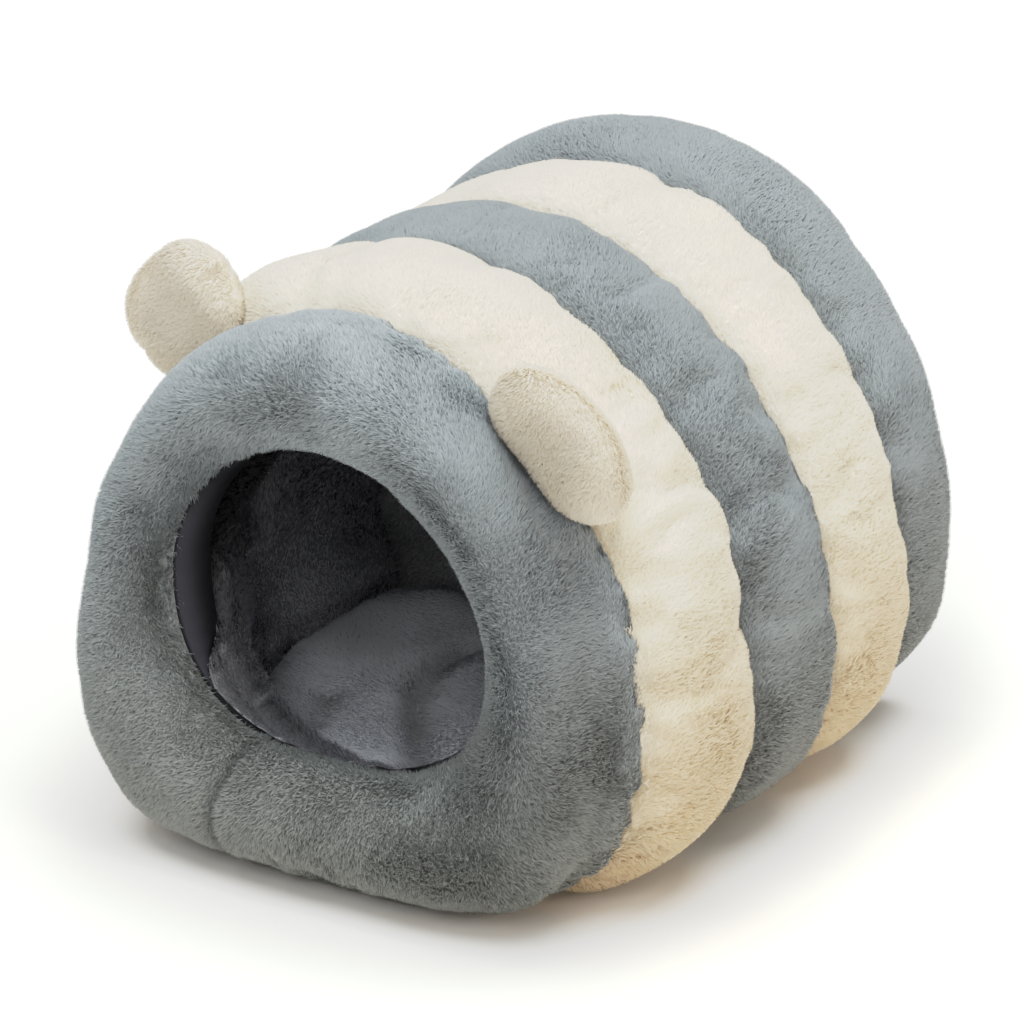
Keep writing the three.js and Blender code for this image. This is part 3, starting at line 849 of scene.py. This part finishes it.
def plush(kind):
    """The strands' and the backing's material of a kind of plush, made once."""
    name = {"grey": "grey brushed plush", "cream": "cream brushed plush", "ear": "warm cream plush",
            "wall": "short dark plush", "pad": "short grey plush"}[kind]
    if name in bpy.data.materials:
        return bpy.data.materials[name], bpy.data.materials[name + " backing"]
    tip = tuple(getattr(bpy.context.scene.cave_bed_colours, kind))
    # The colours by which painted warm shade multiplies a pile at the floor: none, some for the grey, and
    # more for the cream
    new, grey_floor_shade, cream_floor_shade = (1, 1, 1), (0.93, 0.87, 0.78), (0.84, 0.74, 0.6)
    # Each kind's painted shade at its roots and middles, its patches of painted light and shade, its
    # painted warm shade at the floor, and its sheen
    roots, middles, patch, low, sheen = {
        "grey": (0.58, 0.88, 0.05, grey_floor_shade, 0.25), "cream": (0.96, 0.99, 0.015, cream_floor_shade, 0.15),
        "ear": (0.9, 0.97, 0.015, new, 0.15), "wall": (0.5, 0.8, 0.05, new, 0.15),
        "pad": (0.6, 0.88, 0.05, new, 0.15)}[kind]
    root, middle, end = shades(tip, roots, middles)
    strands = strand_material(name, root, middle, end, patch, low, sheen)
    deep, shallow = {"grey": (0.45, 0.7), "cream": (0.76, 0.86), "ear": (0.76, 0.88),
                     "wall": (0.3, 0.5), "pad": (0.45, 0.65)}[kind]
    backing = backing_material(name + " backing", *shades(tip, deep, shallow)[:2], low)
    return strands, backing


class OBJECT_OT_cave_bed_rings(bpy.types.Operator):
    """Makes the covers and the pile of the five stuffed rings"""
    bl_idname = "object.cave_bed_rings"
    bl_label = "Stuffed rings"

    def execute(self, context):
        sizes = context.scene.cave_bed_sizes
        for node, kind in (("front_ring", "grey"), ("cream_ring_1", "cream"), ("grey_ring_2", "grey"),
                           ("cream_ring_3", "cream"), ("rear_ring", "grey")):
            cover = stuffed_cover(node, f"{node}_cover", sizes.voxel, sizes.lump, sizes.pucker)
            strands, backing = plush(kind)
            dress(cover, node, backing, strands)
        return {"FINISHED"}


class OBJECT_OT_cave_bed_back(bpy.types.Operator):
    """Makes the padded back of the cave, which closes the last ring"""
    bl_idname = "object.cave_bed_back"
    bl_label = "Padded back"

    def execute(self, context):
        lump = context.scene.cave_bed_sizes.lump
        cover = stuffed_cover("back_panel", "back_panel_cover", voxel=8 * MM, lump=lump, pucker=0)
        strands, backing = plush("grey")
        dress(cover, "back_panel", backing, strands)
        return {"FINISHED"}


def edge_reach(edge, angle):
    """How far an edge of the facing is from the rings' line at each angle round it."""
    at, reach = turned(edge), np.linalg.norm(spokes_to(edge), axis=1)
    order = np.argsort(at)
    return np.interp(angle, at[order], reach[order], period=360)


def folded_wall(places):
    """Where the wall's spots lie once it has its folds, a bulge low on the left, and its lap over the
    facing. Both of its sides move alike."""
    y, z = places[:, 1], places[:, 2]
    spokes = unit(spokes_to(places))
    _, near = creased("lining", places)
    folds = WALL_FOLD * (1 - near) * (0.5 + lumps(places, 55 * MM, 8.0))
    folds = np.clip(folds, 0, None) * soft_step(-144 * MM, -118 * MM, y)
    folds *= soft_step(85 * MM, 40 * MM, y) * soft_step(30 * MM, 60 * MM, z)
    bulge = BULGE_HEIGHT * bell(turned(places, *MOUTH) - BULGE_ANGLE, BULGE_WIDTH)
    bulge *= soft_step(-20 * MM, -95 * MM, y)
    bulge *= soft_step(60 * MM, 78 * MM, z) * soft_step(-144 * MM, -132 * MM, y)
    lap = soft_step(-118 * MM, -143 * MM, y) * soft_step(122 * MM, 98 * MM, z)
    moved = places - spokes * (folds + bulge)[:, None] - [0, WALL_LAP, 0] * lap[:, None]
    # The lap follows the facing, a little inside it
    reach, angle = np.linalg.norm(spokes_to(moved), axis=1), turned(moved)
    strip = read(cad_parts["mouth_facing"].data.vertices, "co")
    front = edge_reach(strip[strip[:, 1] < FACING_FRONT + 1.4 * MM], angle)
    rear = edge_reach(strip[strip[:, 1] > FACING_REAR - 1.6 * MM], angle)
    forward = np.clip((FACING_REAR - moved[:, 1]) / (FACING_REAR - FACING_FRONT), 0, 1)
    inside = rear + (front - rear) * forward - WALL_CLEARANCE
    short = np.where(lap > 0.02, np.maximum(reach - inside, 0), 0)
    return moved - spokes * short[:, None]


class OBJECT_OT_cave_bed_lining(bpy.types.Operator):
    """Makes the plush wall of the cave and the smooth facing inside the mouth"""
    bl_idname = "object.cave_bed_lining"
    bl_label = "Lining and facing"

    def execute(self, context):
        wall = copy_of("lining", "lining_wall")
        shape = bmesh.new()
        shape.from_mesh(wall.data)
        for _ in range(3):
            long = [edge for edge in shape.edges if edge.calc_length() > 13 * MM]
            bmesh.ops.subdivide_edges(shape, edges=long, cuts=1)
            bmesh.ops.triangulate(shape, faces=[face for face in shape.faces if len(face.verts) > 3])
        shape.to_mesh(wall.data)
        shape.free()
        write(wall.data.vertices, "co", folded_wall(read(wall.data.vertices, "co")))
        wall.data.update()
        strands, backing = plush("wall")
        dress(wall, "lining", backing, strands)
        facing = copy_of("mouth_facing", "mouth_facing_strip")
        # Its inner edge is drawn in, so that it stands in front of the wall's
        places = read(facing.data.vertices, "co")
        spokes = unit(spokes_to(places))
        drawn = 4 * MM * soft_step(-165 * MM, -146 * MM, places[:, 1])
        drawn *= soft_step(104 * MM, 128 * MM, places[:, 2])
        write(facing.data.vertices, "co", places - spokes * drawn[:, None])
        facing.data.update()
        facing.data.shade_smooth()
        facing.data.materials.append(facing_material())
        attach(facing, "root")
        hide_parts("mouth_facing")
        return {"FINISHED"}


class OBJECT_OT_cave_bed_pad(bpy.types.Operator):
    """Makes the loose floor pad"""
    bl_idname = "object.cave_bed_pad"
    bl_label = "Floor pad"

    def execute(self, context):
        cover = remeshed(copy_of("cushion", "cushion_cover"), voxel=5.5 * MM, smoothing=2)
        places, normals = places_and_normals(cover.data)
        depth, _ = creased("cushion", places)
        swells = 3 * MM * lumps(places, 48 * MM, 4.0)
        swells += CORNER_RISE * bell(np.linalg.norm(places[:, :2] - PAD_CORNER, axis=1), CORNER_WIDTH)
        offset = (swells - depth) * soft_step(0.2, 0.7, normals[:, 2])
        write(cover.data.vertices, "co", places + normals * offset[:, None])
        cover.data.update()
        strands, backing = plush("pad")
        dress(cover, "cushion", backing, strands)
        return {"FINISHED"}


class OBJECT_OT_cave_bed_ears(bpy.types.Operator):
    """Makes the two stuffed ears"""
    bl_idname = "object.cave_bed_ears"
    bl_label = "Ears"

    def execute(self, context):
        for node in ("left_ear", "right_ear"):
            cover = stuffed_cover(node, f"{node}_cover", voxel=4 * MM, lump=1 * MM, pucker=0, smoothing=9)
            strands, backing = plush("ear")
            dress(cover, node, backing, strands)
        return {"FINISHED"}


# The camera, fitted to the photograph: which way and from how far it looks at a point in the bed, in
# metres, its focal length and centre in the photograph's pixels, and its roll
FRAME_PIXELS = 1024
CAMERA = {"azimuth": 31.130, "elevation": 20.179, "distance": 2.03226, "aim": (0.003825, -0.004351, 0.17),
          "focal_pixels": 3491.35, "centre_x": 499.225, "centre_y": 502.281, "roll": -0.212}

# Each lamp's name, the place that it shines from, its spread in degrees, its strength beside the key
# light's, and its colour
LAMPS = (("key", (0.2, -0.35, 2.5), 50, 1.0, "#f4fbff"),
         ("front", (0.6, -2.1, 1.8), 25, 0.19, "#ffffff"),
         ("side", (2.4, -0.3, 0.9), 30, 0.18, "#ffeacf"))
# The film's response: the light that reaches it and the tone that it gives, both linear
FILM = ((0.0, 0.0), (0.25, 0.25), (0.5, 0.49), (0.8, 0.67), (1.2, 0.78), (1.42, 0.86), (1.62, 1.0))


class OBJECT_OT_cave_bed_stage(bpy.types.Operator):
    """Makes the pale floor, the soft lights and the camera"""
    bl_idname = "object.cave_bed_stage"
    bl_label = "Stage"

    def execute(self, context):
        scene = context.scene
        sizes = scene.cave_bed_sizes
        view = scene.view_settings
        view.view_transform = "Standard"
        # A film's soft shoulder, which keeps the bright cream from burning out
        view.use_curve_mapping = True
        film = view.curve_mapping
        film.clip_max_x = FILM[-1][0]
        tones = film.curves[3].points
        for point, place in zip(tones, (FILM[0], FILM[-1])):
            point.location = place
        for place in FILM[1:-1]:
            tones.new(*place)
        film.update()
        shape = bmesh.new()
        bmesh.ops.create_grid(shape, x_segments=1, y_segments=1, size=9)
        mesh = bpy.data.meshes.new("floor")
        shape.to_mesh(mesh)
        shape.free()
        floor = link("floor", mesh)
        material, tree = new_material("matt white paper")
        shader = add_node(tree, "ShaderNodeBsdfPrincipled", {"Roughness": 0.9, "Specular IOR Level": 0.1,
                                                             "Base Color": (*linear("#f6f3ee"), 1)})
        finish_material(tree, shader.outputs["BSDF"])
        mesh.materials.append(material)

        world = bpy.data.worlds.new("soft sky")
        scene.world = world
        world.use_nodes = True
        sky = world.node_tree.nodes["Background"]
        sky.inputs["Color"].default_value = (1, 1, 1, 1)
        sky.inputs["Strength"].default_value = sizes.sky_light
        for name, place, spread, share, colour in LAMPS:
            lamp = bpy.data.lights.new(name, "SUN")
            lamp.angle = math.radians(spread)
            lamp.energy = share * sizes.key_light
            lamp.color = linear(colour)
            light = bpy.data.objects.new(name, lamp)
            scene.collection.objects.link(light)
            light.location = place
            light.rotation_euler = (-Vector(place)).to_track_quat("-Z", "Y").to_euler()

        data = bpy.data.cameras.new("camera")
        camera = bpy.data.objects.new("camera", data)
        scene.collection.objects.link(camera)
        azimuth, elevation = math.radians(CAMERA["azimuth"]), math.radians(CAMERA["elevation"])
        back = Vector((math.sin(azimuth) * math.cos(elevation), -math.cos(azimuth) * math.cos(elevation),
                       math.sin(elevation)))
        looking = (-back).to_track_quat("-Z", "Y").to_matrix().to_4x4()
        roll = Matrix.Rotation(math.radians(CAMERA["roll"]), 4, "Z")
        stand = Matrix.Translation(Vector(CAMERA["aim"]) + back * CAMERA["distance"])
        camera.matrix_world = stand @ looking @ roll
        data.sensor_width = 36
        data.lens = data.sensor_width * CAMERA["focal_pixels"] / FRAME_PIXELS
        data.shift_x = 0.5 - CAMERA["centre_x"] / FRAME_PIXELS
        data.shift_y = CAMERA["centre_y"] / FRAME_PIXELS - 0.5
        data.clip_end = 30
        scene.camera = camera
        return {"FINISHED"}


STEPS = (OBJECT_OT_cave_bed_rings, OBJECT_OT_cave_bed_back, OBJECT_OT_cave_bed_lining,
         OBJECT_OT_cave_bed_pad, OBJECT_OT_cave_bed_ears, OBJECT_OT_cave_bed_stage)


class VIEW3D_PT_cave_bed(bpy.types.Panel):
    """Lists the settings and the steps"""
    bl_label = "Plush cave bed"
    bl_space_type = "VIEW_3D"
    bl_region_type = "UI"
    bl_category = "Cave bed"

    def draw(self, context):
        for group in (context.scene.cave_bed_colours, context.scene.cave_bed_sizes):
            for name in group.bl_rna.properties.keys():
                if name not in ("rna_type", "name"):
                    self.layout.prop(group, name)
        for step in STEPS:
            self.layout.operator(step.bl_idname)


CLASSES = (CaveBedColours, CaveBedSizes, *STEPS, VIEW3D_PT_cave_bed)


def register():
    for each in CLASSES:
        bpy.utils.register_class(each)
    bpy.types.Scene.cave_bed_colours = PointerProperty(type=CaveBedColours)
    bpy.types.Scene.cave_bed_sizes = PointerProperty(type=CaveBedSizes)


def unregister():
    del bpy.types.Scene.cave_bed_sizes
    del bpy.types.Scene.cave_bed_colours
    for each in reversed(CLASSES):
        bpy.utils.unregister_class(each)


def main():
    register()
    for step in STEPS:
        family, name = step.bl_idname.split(".")
        getattr(getattr(bpy.ops, family), name)()


if __name__ == "__main__":
    main()
